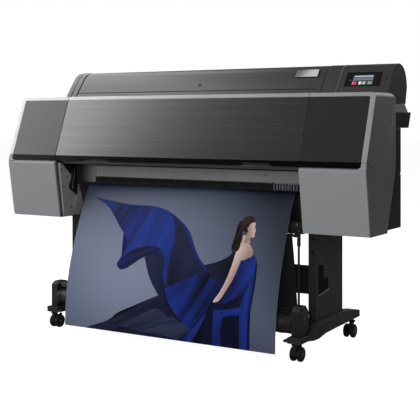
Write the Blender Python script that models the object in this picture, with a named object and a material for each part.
"""Wide-format inkjet printer on a rolling stand: every sub-part is one closed solid.

X runs along the printer, +Y points to its back and +Z up. Depths (Y) are given from the seam at the
foot of the front cover; the empty "printer" moves them so that the footprint is centred on the origin.
"""

import math

import bmesh
import bpy
from mathutils import Vector

# ---- driving dimensions, in metres ---------------------------------------------------------------
DEPTH_SHIFT = -0.26985  # from the front seam to the middle of the footprint
GAP = 0.0005  # clearance between neighbouring pieces

HALF_WIDTH = 0.945  # outside of the side panels
CASE_X = 0.905  # outside of the black rear case
SEAM_X = 0.6505  # joint between the middle cover and the two ends
FRAME_X = 0.644  # inside of the two inner side frames
FRAME_T = 0.005

FRONT_TOP = (0.097, 1.0875)  # (y, z) along the front, from the top down
FRONT_SEAM = (0.0, 0.8094)
STRIP_END = (-0.006, 0.7861)
COVER_TOP = (-0.006, 0.7856)
COVER_NOSE = (-0.0086, 0.781)
COVER_FOOT = (0.033, 0.515)
SKIN, COVER_SKIN = 0.010, 0.008
GRIPS = ((-0.489, -0.330), (0.369, 0.522))  # finger recesses under the front cover
TRIM_WIDTH = 0.022
DECK_Z = 1.0875
DECK_BACK = 0.343
DECK_T = 0.0075

PAN_BOTTOM, PAN_TOP = 0.514, 0.517
PAN_FRONT = 0.044
SHEET_CLEAR_Y = 0.112  # the pan's front edge behind the hanging sheet
CASE_BACK = 0.462
CASE_WALL = 0.005
CASE_TOP = 0.9411

HUMP_X = 0.890  # outside of the end caps of the roll housing
ROLL_BAY = (-0.826, 0.573)  # the roll cover lies between these
HUMP_WALL = 0.004
ROLL_COVER_T = 0.0035
ROLL_AXIS = (0.468, 1.112)
ROLL_R, ROLL_BORE = 0.074, 0.038
SHEET_HALF = 0.559  # half of a 44 inch sheet
COVER_HINGE = (0.1064, 1.0842)
ROLL_HINGE = (0.5475, 1.040)

LEG_X = (0.624, 0.661)
LEG_Y = (0.133, 0.388)
FOOT_X = (0.612, 0.673)
FOOT_TOP = 0.1416
FOOT_STEP = 0.100
STAND_WALL, FOOT_WALL = 0.0025, 0.005

WHEEL_R = 0.030
TRAIL = 0.018
CASTER_X = 0.641
CASTERS = {  # swivel depth, side the wheel trails to, underside of the foot there
    "front": (-0.014, 1, 0.0750),
    "rear": (0.528, -1, 0.0908),
}

CORE_AXIS = (0.025, 0.146)
CORE_R, CORE_BORE = 0.042, 0.036

CARRIAGE_HOME = 0.765
CARRIAGE_HALF = 0.085
BELT_Y, BELT_Z = 0.250, 0.910
PULLEY_X, PULLEY_R = 0.880, 0.012

PANEL_X = (0.676, 0.843)  # control panel
PANEL_Y = (0.3655, 0.4104)
WINDOW_X = (0.418, 0.534)
WINDOW_Y = (0.3985, 0.4250)
BUTTON_X, BUTTON_Y, BUTTON_R = 0.869, 0.389, 0.005

SIDES = (("left", -1), ("right", 1))


# ---- scene and materials -------------------------------------------------------------------------
for old in list(bpy.data.objects):
    bpy.data.objects.remove(old)

printer = bpy.data.objects.new("printer", None)
bpy.context.collection.objects.link(printer)
printer.location = (0, DEPTH_SHIFT, 0)


def material(name, color, roughness, metallic=0.0):
    made = bpy.data.materials.new(name)
    made.use_nodes = True
    shader = made.node_tree.nodes["Principled BSDF"]
    shader.inputs["Base Color"].default_value = (*color, 1)
    shader.inputs["Roughness"].default_value = roughness
    shader.inputs["Metallic"].default_value = metallic
    return made


SILVER = material("silver_trim", (0.52, 0.54, 0.53), 0.35)
DARK = material("dark_grey_shell", (0.052, 0.053, 0.056), 0.45)
LIGHT = material("grey_shell", (0.21, 0.22, 0.23), 0.45)
BLACK = material("black_shell", (0.012, 0.012, 0.013), 0.5)
STAND = material("black_steel", (0.014, 0.014, 0.015), 0.5, 0.3)
STEEL = material("zinc_steel", (0.45, 0.46, 0.47), 0.35, 1.0)
PLASTIC = material("black_plastic", (0.02, 0.02, 0.021), 0.5)
RUBBER = material("rubber", (0.015, 0.015, 0.015), 0.8)
FABRIC = material("black_cloth", (0.01, 0.01, 0.01), 0.9)
PAPER = material("paper", (0.85, 0.85, 0.83), 0.8)
PRINT = material("printed_paper", (0.14, 0.17, 0.28), 0.45)
CLEAR = material("clear_window", (0.8, 0.8, 0.8), 0.1)
GLOSS = material("gloss_black", (0.006, 0.006, 0.007), 0.08)
INK = material("ink_cartridge", (0.10, 0.10, 0.11), 0.4)


# ---- outlines --------------------------------------------------------------------------------------
def arc(center, radius, start, stop, steps):
    """Points on an arc, angles in degrees."""
    angles = [math.radians(start + (stop - start) * i / steps) for i in range(steps + 1)]
    return [(center[0] + radius * math.cos(a), center[1] + radius * math.sin(a)) for a in angles]


def circle(center, radius, sides):
    return arc(center, radius, 0, 360, sides)[:-1]


def smooth(points, steps):
    """A Catmull-Rom curve through the points."""
    ends = [points[0], *points, points[-1]]
    curve = []
    for a, b, c, d in zip(ends, ends[1:], ends[2:], ends[3:]):
        for i in range(steps):
            t = i / steps
            curve.append(tuple(
                b[k] + 0.5 * t * (c[k] - a[k])
                + 0.5 * t * t * (2 * a[k] - 5 * b[k] + 4 * c[k] - d[k])
                + 0.5 * t ** 3 * (3 * b[k] - a[k] - 3 * c[k] + d[k])
                for k in (0, 1)
            ))
    return curve + [points[-1]]


def offset(points, distance):
    """The open line moved to its left by a distance, with mitred corners."""
    line = [Vector(p) for p in points]
    normals = []
    for p, q in zip(line, line[1:]):
        d = (q - p).normalized()
        normals.append(Vector((-d.y, d.x)))
    moved = [line[0] + normals[0] * distance]
    for p, m, n in zip(line[1:-1], normals, normals[1:]):
        moved.append(p + (m + n) * (distance / (1 + m.dot(n))))
    moved.append(line[-1] + normals[-1] * distance)
    return [tuple(p) for p in moved]


def band(points, thickness):
    """A closed outline of even thickness along an open line."""
    return list(points) + offset(points, thickness)[::-1]


def along(p, q, distance):
    """The point on the line from p to q at a distance from p."""
    p, q = Vector(p), Vector(q)
    return tuple(p + (q - p).normalized() * distance)


def rectangle(low, high):
    return [(low[0], low[1]), (high[0], low[1]), (high[0], high[1]), (low[0], high[1])]


def racetrack(half_length, radius, steps=8):
    """A loop round two circles on the X axis."""
    return arc((half_length, 0), radius, -90, 90, steps) + arc((-half_length, 0), radius, 90, 270, steps)


# ---- solids ----------------------------------------------------------------------------------------
def to_xyz(axis, place, point):
    """An outline point at a place along an axis: outlines are (y, z), (x, z) or (x, y)."""
    a, b = point
    return {"x": (place, a, b), "y": (a, place, b), "z": (a, b, place)}[axis]


def loft(sections, axis="x"):
    """A closed mesh through outlines with equal point counts: sections is a list of (place, outline)."""
    bm = bmesh.new()
    rings = [[bm.verts.new(to_xyz(axis, place, p)) for p in outline] for place, outline in sections]
    for low, high in zip(rings, rings[1:]):
        for i in range(len(low)):
            j = (i + 1) % len(low)
            bm.faces.new((low[i], low[j], high[j], high[i]))
    bm.faces.new(rings[0])
    bm.faces.new(rings[-1])
    return bm


def prism(outline, low, high, axis="x"):
    return loft([(low, outline), (high, outline)], axis)


def ring_prism(outer, inner, low, high, axis="x"):
    """A prism with a hole: both outlines have the same number of points."""
    bm = bmesh.new()
    loops = [
        [bm.verts.new(to_xyz(axis, place, p)) for p in outline]
        for outline, place in ((outer, low), (outer, high), (inner, high), (inner, low))
    ]
    for a, b in zip(loops, loops[1:] + loops[:1]):
        for i in range(len(a)):
            j = (i + 1) % len(a)
            bm.faces.new((a[i], a[j], b[j], b[i]))
    return bm


def box(x, y, z):
    return prism(rectangle((y[0], z[0]), (y[1], z[1])), x[0], x[1])


def turned(profile, center, sides, axis="x"):
    """A (place, radius) profile turned about the axis through a point of the other two directions."""
    bm = bmesh.new()
    rings = []
    for i in range(sides):
        a = 2 * math.pi * i / sides
        rings.append([
            bm.verts.new(to_xyz(axis, place, (center[0] + r * math.cos(a), center[1] + r * math.sin(a))))
            for place, r in profile
        ])
    for one, two in zip(rings, rings[1:] + rings[:1]):
        for i in range(len(profile)):
            j = (i + 1) % len(profile)
            if profile[i][1] > 0 or profile[j][1] > 0:
                bm.faces.new((one[i], one[j], two[j], two[i]))
    bmesh.ops.remove_doubles(bm, verts=bm.verts, dist=1e-6)
    bmesh.ops.dissolve_degenerate(bm, edges=bm.edges, dist=1e-6)
    return bm


def mirrored(sign, low, high):
    """The span from low to high on the side given by sign, in rising order."""
    return (low, high) if sign > 0 else (-high, -low)


def rod(center, radius, low, high, sides=16, axis="x"):
    return prism(circle(center, radius, sides), low, high, axis)


def add(name, bm, look, origin=(0, 0, 0)):
    """The named object for a mesh in printer coordinates, with its origin at the given point."""
    bmesh.ops.recalc_face_normals(bm, faces=bm.faces)
    bmesh.ops.translate(bm, verts=bm.verts, vec=-Vector(origin))
    mesh = bpy.data.meshes.new(name)
    bm.to_mesh(mesh)
    bm.free()
    mesh.materials.append(look)
    mesh.shade_smooth()
    mesh.set_sharp_from_angle(angle=math.radians(30))
    obj = bpy.data.objects.new(name, mesh)
    bpy.context.collection.objects.link(obj)
    obj.parent = printer
    obj.location = origin
    return obj


def shape(obj, operation, bm):
    """Joins a helper solid to an object (UNION) or cuts it away (DIFFERENCE)."""
    helper = add(f"{obj.name}_{operation.lower()}", bm, obj.data.materials[0])
    helper.hide_render = True
    helper.display_type = "WIRE"
    change = obj.modifiers.new(operation.lower(), "BOOLEAN")
    change.operation = operation
    change.object = helper


def join(obj, *solids):
    for bm in solids:
        shape(obj, "UNION", bm)


def cut(obj, *solids):
    for bm in solids:
        shape(obj, "DIFFERENCE", bm)


# ---- stand -----------------------------------------------------------------------------------------
def stand():
    foot = [
        (-0.030, 0.075), (0.040, 0.077), (0.090, 0.069), (0.140, 0.069), (0.200, 0.080), (0.320, 0.085),
        (0.545, 0.092), (0.545, 0.121), (0.400, FOOT_TOP), (0.120, FOOT_TOP), (0.085, 0.126),
        (0.062, FOOT_STEP), (-0.030, FOOT_STEP),
    ]
    channel = [(0.074, 0.050), (0.470, 0.050), (0.470, 0.124), (0.399, FOOT_TOP - FOOT_WALL),
               (0.122, FOOT_TOP - FOOT_WALL), (0.092, 0.118), (0.074, 0.096)]
    for side, sign in SIDES:
        x0, x1 = mirrored(sign, *LEG_X)
        tube = [rectangle((x0 + t, LEG_Y[0] + t), (x1 - t, LEG_Y[1] - t)) for t in (0, STAND_WALL)]
        add(f"leg_{side}", ring_prism(*tube, FOOT_TOP + GAP, PAN_BOTTOM - GAP, "z"), STAND)
        beam = add(f"foot_{side}", prism(foot, *mirrored(sign, *FOOT_X)), STAND)
        x0, x1 = mirrored(sign, FOOT_X[0] + FOOT_WALL, FOOT_X[1] - FOOT_WALL)
        cut(beam, prism(channel, x0, x1))
        join(beam, box(mirrored(sign, 0.592, FOOT_X[0] + 0.004), (-0.028, 0.046), (0.078, 0.088)))
    inner = LEG_X[0] - GAP
    tube = [rectangle((0.300 + t, 0.216 + t), (0.330 - t, 0.338 - t)) for t in (0, STAND_WALL)]
    add("stand_crossbar", ring_prism(*tube, -inner, inner), STAND)


def casters():
    stem_r, axle_r = 0.008, 0.0038
    tread = [
        (-0.024, 0), (-0.024, 0.027), (-0.021, WHEEL_R), (-0.011, WHEEL_R), (-0.008, 0.027),
        (-0.008, axle_r), (0.008, axle_r), (0.008, 0.027), (0.011, WHEEL_R), (0.021, WHEEL_R),
        (0.024, 0.027), (0.024, 0),
    ]
    for end, (swivel_y, out, foot_z) in CASTERS.items():
        for side, sign in SIDES:
            x, wheel_y = sign * CASTER_X, swivel_y + out * TRAIL
            place = f"{end}_{side}"
            hood = [(-0.013, 0.022), (0.014, 0.018), (0.028, 0.028), (0.029, 0.066), (0.007, 0.066),
                    (-0.011, 0.052)]
            outline = [(wheel_y - out * u, z) for u, z in hood]
            fork = add(f"caster_fork_{place}", prism(outline, x - 0.0062, x + 0.0062), PLASTIC,
                       (x, swivel_y, WHEEL_R))
            join(fork, rod((x, swivel_y), stem_r, 0.050, foot_z - GAP, 16, "z"))
            cut(fork, rod((wheel_y, WHEEL_R), axle_r + GAP, x - 0.02, x + 0.02))
            wheels = turned([(x + a, r) for a, r in tread], (wheel_y, WHEEL_R), 24)
            add(f"caster_wheels_{place}", wheels, RUBBER, (x, wheel_y, WHEEL_R))
            if end == "front":
                lever = [(-0.0138, 0.042), (-0.0122, 0.055), (-0.024, 0.062), (-0.0296, 0.062),
                         (-0.0296, 0.056), (-0.022, 0.044)]
                outline = [(wheel_y - out * u, z) for u, z in lever]
                pivot = (x, wheel_y + out * 0.016, 0.050)
                add(f"caster_brake_{place}", prism(outline, x - 0.006, x + 0.006), PLASTIC, pivot)


def take_up_reel():
    y, z = CORE_AXIS
    inner_right, inner_left = 0.6215, -0.606
    drive = [(-0.014, FOOT_STEP + GAP), (0.058, FOOT_STEP + GAP), (0.066, 0.124), (0.061, 0.200),
             (0.042, 0.222), (0.004, 0.222), (-0.014, 0.200)]
    unit = add("takeup_drive_unit", prism(drive, inner_right, 0.662), PLASTIC)
    join(unit, rod((y, z), 0.030, inner_right - 0.020, inner_right + 0.010, 24))
    holder = [(-0.014, FOOT_STEP + GAP), (0.058, FOOT_STEP + GAP), (0.062, 0.190), (0.048, 0.216),
              (0.006, 0.216), (-0.014, 0.203)]
    hood = [(-0.002, 0.1935), (0.050, 0.1935), (0.046, 0.2145), (0.006, 0.2145)]
    unit = add("takeup_holder_unit", prism(holder, -0.660, -0.624), PLASTIC)
    join(unit, prism(hood, -0.640, -0.572), rod((y, z), 0.044, -0.640, inner_left, 24),
         rod((y, z), 0.030, -0.640, inner_left + 0.020, 24))
    tube = ring_prism(circle((y, z), CORE_R, 32), circle((y, z), CORE_BORE, 32),
                      inner_left + GAP, inner_right - GAP)
    add("takeup_core", tube, PLASTIC, (0, y, z))


def basket():
    rod_y, edge_x = 0.130, 0.549
    for side, sign in SIDES:
        x = sign * 0.581
        stay = add(f"stay_rod_{side}", rod((x, rod_y), 0.005, 0.135, 0.460, 12, "z"), STAND)
        join(stay, rod((x, rod_y), 0.008, 0.447, 0.498, 16, "z"))
        join(stay, box(mirrored(sign, 0.575, FOOT_X[0] - GAP), (0.122, 0.138), (0.092, 0.146)))
    top, bottom = (0.131, 0.4905), (0.181, 0.161)
    cloth = add("basket_cloth", prism(band([top, bottom], 0.003), -edge_x, edge_x), FABRIC)
    bar_end = LEG_X[0] - GAP
    join(cloth, rod(top, 0.006, -0.560, 0.560, 12), rod(bottom, 0.007, -bar_end, bar_end, 12))


# ---- chassis ---------------------------------------------------------------------------------------
def chassis():
    inside, back, bite = CASE_X - CASE_WALL - GAP, CASE_BACK - CASE_WALL - GAP, 0.020
    half_plan = [(FRAME_X + FRAME_T, SHEET_CLEAR_Y), (FRAME_X + FRAME_T, PAN_FRONT), (inside, PAN_FRONT),
                 (inside, back - bite), (inside - bite, back)]
    plan = half_plan + [(-x, y) for x, y in reversed(half_plan)]
    base = add("base_frame", prism(plan, PAN_BOTTOM, PAN_TOP, "z"), STEEL)
    front = [(0.163, 0.660), (0.169, 0.661), (0.206, 0.553), (0.206, PAN_TOP - 0.001),
             (0.200, PAN_TOP - 0.001), (0.200, 0.552)]
    edge = FRAME_X - GAP
    join(base, prism(front, -edge, edge))
    for _, sign in SIDES:
        join(base, box(mirrored(sign, 0.525, 0.602), (0.125, 0.190), (0.4985, 0.548)))

    plate = [
        (0.016, 0.775), (0.052, PAN_TOP + GAP), (0.430, PAN_TOP + GAP), (0.430, 1.040), (0.3425, 1.040),
        (0.3425, 0.7895), (0.2845, 0.7895), (0.2845, 0.668), (0.118, 0.668), (0.112, 0.690),
        (0.112, 0.775),
    ]
    frame_top = 0.940
    plate = [(y, min(z, frame_top)) for y, z in plate]
    for side, sign in SIDES:
        add(f"side_frame_{side}", prism(plate, *mirrored(sign, FRAME_X, FRAME_X + FRAME_T)), STEEL)

    tube = [rectangle((0.292 + t, 0.800 + t), (0.342 - t, 0.900 - t)) for t in (0, 0.003)]
    rail = add("guide_beam", ring_prism(*tube, -inside, inside), STEEL)
    join(rail, box((-inside, inside), (0.284, 0.294), (0.8905, 0.899)))
    for _, sign in SIDES:
        span = mirrored(sign, PULLEY_X - 0.013, PULLEY_X + 0.013)
        join(rail, box(span, (BELT_Y - 0.012, 0.294), (0.884, 0.894)))


def paper_path():
    edge = FRAME_X - GAP
    platen = [(0.158, 0.6827), (0.277, 0.762), (0.277, 0.742), (0.205, 0.690), (0.165, 0.667)]
    add("platen", prism(platen, -edge, edge), PLASTIC)

    y, z = 0.300, 0.750
    roller = [(-edge, 0), (-edge, 0.005), (-0.602, 0.005), (-0.602, 0.0155), (0.602, 0.0155),
              (0.602, 0.005), (edge, 0.005), (edge, 0)]
    add("feed_roller", turned(roller, (y, z), 24), RUBBER, (0, y, z))

    face = band([(0.112, 0.762), (0.093, 0.762), (0.096, 0.712)], 0.003)
    add("eject_plate", prism(face, -edge, edge), STEEL)
    ribs = [(0.0975, 0.7115), (0.0975, 0.679), (0.104, 0.676), (0.124, 0.676), (0.128, 0.690),
            (0.128, 0.7115)]
    add("eject_rib_bar", prism(ribs, -0.600, 0.600), PLASTIC)

    route = smooth([
        (0.160, 0.6855), (0.139, 0.665), (0.101, 0.592), (0.050, 0.460), (0.006, 0.325),
        (-0.020, 0.204), (-0.031, 0.110), (-0.034, 0.025),
    ], 3)
    sheet = band([(0.262, 0.7534)] + route, -0.0008)
    add("printed_sheet", prism(sheet, -SHEET_HALF, SHEET_HALF), PRINT)

    y, z = ROLL_AXIS
    half = SHEET_HALF - GAP
    roll = ring_prism(circle((y, z), ROLL_R, 48), circle((y, z), ROLL_BORE, 48), -half, half)
    add("paper_roll", roll, PAPER, (0, y, z))
    hub_r, hub_in, flange_r = ROLL_BORE - GAP, SHEET_HALF - 0.030, 0.078
    for side, sign, out in (("left", -1, 0.620), ("right", 1, ROLL_BAY[1] - GAP)):
        profile = [(hub_in, 0), (hub_in, hub_r), (SHEET_HALF, hub_r), (SHEET_HALF, flange_r),
                   (SHEET_HALF + 0.008, flange_r), (SHEET_HALF + 0.008, 0.030), (out, 0.030), (out, 0)]
        flange = turned([(sign * a, r) for a, r in profile], (y, z), 32)
        add(f"roll_holder_{side}", flange, PLASTIC, (0, y, z))

    lever = band([(0.131, 0.712), (0.118, 0.690), (0.100, 0.640), (0.090, 0.616)], 0.010)
    add("pressure_lever", prism(lever, 0.006 - FRAME_X, 0.014 - FRAME_X), PLASTIC,
        (0.010 - FRAME_X, 0.129, 0.705))


def print_carriage():
    outline = [(0.165, 0.694), (0.262, 0.7587), (0.2835, 0.790), (0.2835, 0.885), (0.270, 0.903),
               (0.150, 0.903), (0.128, 0.800)]
    body = prism(outline, CARRIAGE_HOME - CARRIAGE_HALF, CARRIAGE_HOME + CARRIAGE_HALF)
    add("carriage", body, PLASTIC, (CARRIAGE_HOME, 0.205, 0.800))

    inner = [(x, y + BELT_Y) for x, y in racetrack(PULLEY_X, PULLEY_R + GAP)]
    outer = [(x, y + BELT_Y) for x, y in racetrack(PULLEY_X, PULLEY_R + 0.002)]
    add("drive_belt", ring_prism(outer, inner, BELT_Z - 0.004, BELT_Z + 0.004, "z"), RUBBER)
    for name, x in (("drive_pulley", PULLEY_X), ("idler_pulley", -PULLEY_X)):
        profile = [
            (BELT_Z - 0.0155, 0), (BELT_Z - 0.0155, 0.003), (BELT_Z - 0.0065, 0.003),
            (BELT_Z - 0.0065, 0.0145), (BELT_Z - 0.0045, 0.0145), (BELT_Z - 0.0045, PULLEY_R),
            (BELT_Z + 0.0045, PULLEY_R), (BELT_Z + 0.0045, 0.0145), (BELT_Z + 0.0065, 0.0145),
            (BELT_Z + 0.0065, 0),
        ]
        add(name, turned(profile, (x, BELT_Y), 24, "z"), STEEL, (x, BELT_Y, BELT_Z))

    cap = [(0.165, 0.6875), (0.262, 0.7522), (0.262, 0.666), (0.165, 0.666)]
    span = (CARRIAGE_HOME - CARRIAGE_HALF, CARRIAGE_HOME + CARRIAGE_HALF)
    add("capping_station", prism(cap, *span), PLASTIC)


def ink_supply():
    """A rack of six cartridges behind each ink cover, drawn as one comb-shaped outline."""
    first, last, count = 0.6565, 0.8985, 6
    wall, floor, shelf, top = 0.006, PAN_TOP + GAP, 0.527, 0.660
    pitch = (last - first - 2 * wall) / count
    for side, sign in SIDES:
        outline = [(first, floor), (last, floor), (last, 0.600), (last - wall, 0.600), (last - wall, shelf)]
        for i in reversed(range(count)):
            low = first + wall + pitch * i
            outline += [(low + pitch - 0.0015, shelf), (low + pitch - 0.0015, top),
                        (low + 0.0015, top), (low + 0.0015, shelf)]
        outline += [(first + wall, shelf), (first + wall, 0.600), (first, 0.600)]
        comb = [(sign * x, z) for x, z in outline]
        add(f"ink_cartridges_{side}", prism(comb, 0.075, 0.300, "y"), INK)


# ---- covers ----------------------------------------------------------------------------------------
def front_covers():
    trim_end = along(FRONT_TOP, FRONT_SEAM, TRIM_WIDTH)
    panel_top = along(FRONT_TOP, FRONT_SEAM, TRIM_WIDTH + GAP)
    face = [panel_top, FRONT_SEAM, STRIP_END]
    inner_x, trim_x = SEAM_X + GAP, HALF_WIDTH - TRIM_WIDTH
    for side, sign in SIDES:
        panel = prism(band(face, SKIN), *mirrored(sign, inner_x, trim_x - GAP))
        add(f"end_panel_{side}", panel, DARK)
        top = prism(band([FRONT_TOP, trim_end], SKIN), *mirrored(sign, inner_x, HALF_WIDTH))
        trim = add(f"trim_{side}", top, SILVER)
        edge = band([FRONT_TOP, FRONT_SEAM], SKIN)
        join(trim, prism(edge, *mirrored(sign, trim_x, HALF_WIDTH)))

        shell = prism(band([COVER_TOP, COVER_NOSE, COVER_FOOT], COVER_SKIN),
                      *mirrored(sign, inner_x, HALF_WIDTH))
        hinge = offset([COVER_NOSE, COVER_FOOT], COVER_SKIN)[-1]
        cover = add(f"ink_cover_{side}", shell, LIGHT, (sign * 0.798, *hinge))
        ear = [along(FRONT_SEAM, STRIP_END, 0.0015), STRIP_END, COVER_TOP, COVER_NOSE]
        join(cover, prism(band(ear, COVER_SKIN), *mirrored(sign, trim_x, HALF_WIDTH)))
        returned = [(-0.002, 0.7835), COVER_NOSE, COVER_FOOT, (0.0430, 0.520), (0.0430, 0.536),
                    (0.056, 0.540), (0.024, 0.776)]
        join(cover, prism(returned, *mirrored(sign, inner_x, inner_x + 0.004)))

    middle = SEAM_X - GAP
    origin = (0, *COVER_HINGE)
    door = add("front_cover", prism(band(face + [(0.016, 0.7815)], 0.009), -middle, middle), DARK, origin)
    lip_x = FRAME_X - GAP
    join(door, prism(band([(0.008, 0.7825), (0.044, 0.7795), (0.046, 0.7695)], 0.004), -lip_x, lip_x))
    cut(door, *(box(grip, (-0.020, 0.001), (0.780, 0.7975)) for grip in GRIPS))
    top = prism(band([FRONT_TOP, trim_end], SKIN), -middle, middle)
    add("front_cover_trim", top, SILVER, origin)


def body_shells():
    front = offset([FRONT_TOP, FRONT_SEAM, COVER_TOP, COVER_FOOT], SKIN + GAP)
    rear = smooth([(0.216, 0.531), (0.248, 0.627), (0.2856, 0.727), (0.300, 0.790), (0.302, 0.850)], 3)
    outline = (front + [(0.0442, PAN_BOTTOM), (0.212, PAN_BOTTOM)] + rear
               + arc((0.280, DECK_Z - 0.022), 0.022, 0, 90, 5) + [(0.1085, DECK_Z)])
    for side, sign in SIDES:
        panel = prism(outline, *mirrored(sign, CASE_X + GAP, HALF_WIDTH))
        add(f"side_panel_{side}", panel, DARK)

    deck = box((-CASE_X, CASE_X), (0.1078, DECK_BACK), (DECK_Z - DECK_T, DECK_Z))
    add("top_deck", deck, DARK)

    r, x, y = 0.008, CASE_X, CASE_BACK
    plan = ([(x, 0.150)] + arc((x - r, y - r), r, 0, 90, 5) + arc((r - x, y - r), r, 90, 180, 5)
            + [(-x, 0.150)])
    case = add("rear_case", prism(band(plan, CASE_WALL), PAN_BOTTOM, CASE_TOP, "z"), BLACK)
    for _, sign in SIDES:
        cut(case, box(mirrored(sign, CASE_X - 0.030, CASE_X + 0.010), (y - 0.012, y + 0.010),
                      (0.742, 0.748)))

    full = [(0.304, 0.9415), (0.5465, 0.9415), (0.5745, 1.010), (0.540, 1.0445), (0.350, 1.0445),
            (0.350, DECK_Z - DECK_T - GAP), (0.304, DECK_Z - DECK_T - GAP)]
    low = [(y, min(z, 1.010 - 0.002 * (y < 0.57))) for y, z in full]
    tray = loft([(-CASE_X, low), (-HUMP_X, full), (HUMP_X, full), (CASE_X, low)])
    tray = add("rear_box", tray, BLACK)
    bay = HUMP_X - 0.006
    cut(tray, box((-bay, bay), (0.358, 0.528), (0.948, 1.060)))
    cut(tray, box((-bay - GAP, bay + GAP), (0.312, 0.540), (0.9482, 1.002)))


def roll_housing():
    """The hump over the paper roll: two fixed caps, and the roll cover hinged between them."""
    rise = [(0.343, DECK_Z + 0.0005 + 0.003), (0.382, 1.145), (0.421, 1.198)]
    crown = smooth([(0.421, 1.198), (0.450, 1.2165), (0.486, 1.2205), (0.527, 1.205), (0.553, 1.172),
                    (0.5645, 1.130), (0.561, 1.098), (0.5475, 1.046)], 4)
    hump = rise[:2] + crown
    low_front, low_back = (0.3505, 1.0450), (0.540, 1.0450)
    shell = [(0.343, DECK_Z + GAP)] + hump[1:] + [low_back, low_front, (0.3505, DECK_Z + GAP)]
    hollow = [(0.3535, 1.030)] + offset([(0.3455, 1.092), *hump[1:]], -HUMP_WALL)[1:] + [(0.540, 1.020)]
    for name, low, high in (("roll_cap_left", -HUMP_X, ROLL_BAY[0]),
                            ("control_housing", ROLL_BAY[1], HUMP_X)):
        cap = add(name, prism(shell, low, high), DARK)
        cut(cap, prism(hollow, low + HUMP_WALL, high - HUMP_WALL))

    slope = (rise[2][1] - rise[1][1]) / (rise[2][0] - rise[1][0])
    length = math.hypot(1, slope)
    normal = Vector((-slope / length, 1 / length))  # out of the slanted front, in (y, z)

    def slanted(y, out=0.0):
        """The point of the slanted front at depth y, moved out along its normal."""
        return tuple(Vector((y, rise[1][1] + (y - rise[1][0]) * slope)) + normal * out)

    def slab(y0, y1, low, high):
        return [slanted(y0, low), slanted(y1, low), slanted(y1, high), slanted(y0, high)]

    housing = bpy.data.objects["control_housing"]
    pocket = slab(PANEL_Y[0] - GAP, PANEL_Y[1] + GAP, -0.006, 0.01)
    cut(housing, prism(pocket, PANEL_X[0] - GAP, PANEL_X[1] + GAP))
    panel = slab(*PANEL_Y, -0.0055, 0.0005)
    add("control_panel", prism(panel, *PANEL_X), GLOSS)

    turn = Vector((0, 0, 1)).rotation_difference(Vector((0, *normal)))

    def plug(radius, low, high):
        """A round plug along the slanted front's normal at the power button."""
        bm = rod((0, 0), radius, low, high, 20, "z")
        bmesh.ops.rotate(bm, verts=bm.verts, cent=(0, 0, 0), matrix=turn.to_matrix())
        bmesh.ops.translate(bm, verts=bm.verts, vec=(BUTTON_X, *slanted(BUTTON_Y)))
        return bm

    cut(housing, plug(BUTTON_R + GAP, -0.010, 0.010))
    add("power_button", plug(BUTTON_R, -0.005, 0.0015), GLOSS, (BUTTON_X, *slanted(BUTTON_Y)))

    line = [(0.3455, 1.0945)] + hump[1:]
    skin = prism(band(line, -ROLL_COVER_T), ROLL_BAY[0] + 0.0007, ROLL_BAY[1] - 0.0007)
    origin = (0, *ROLL_HINGE)
    cover = add("roll_cover", skin, DARK, origin)
    cut(cover, prism(slab(*WINDOW_Y, -0.02, 0.02), *WINDOW_X))
    pane = slab(WINDOW_Y[0] + GAP, WINDOW_Y[1] - GAP, -0.003, -0.0005)
    add("roll_window", prism(pane, WINDOW_X[0] + GAP, WINDOW_X[1] - GAP), CLEAR, origin)


stand()
casters()
take_up_reel()
basket()
chassis()
paper_path()
print_carriage()
ink_supply()
front_covers()
body_shells()
roll_housing()
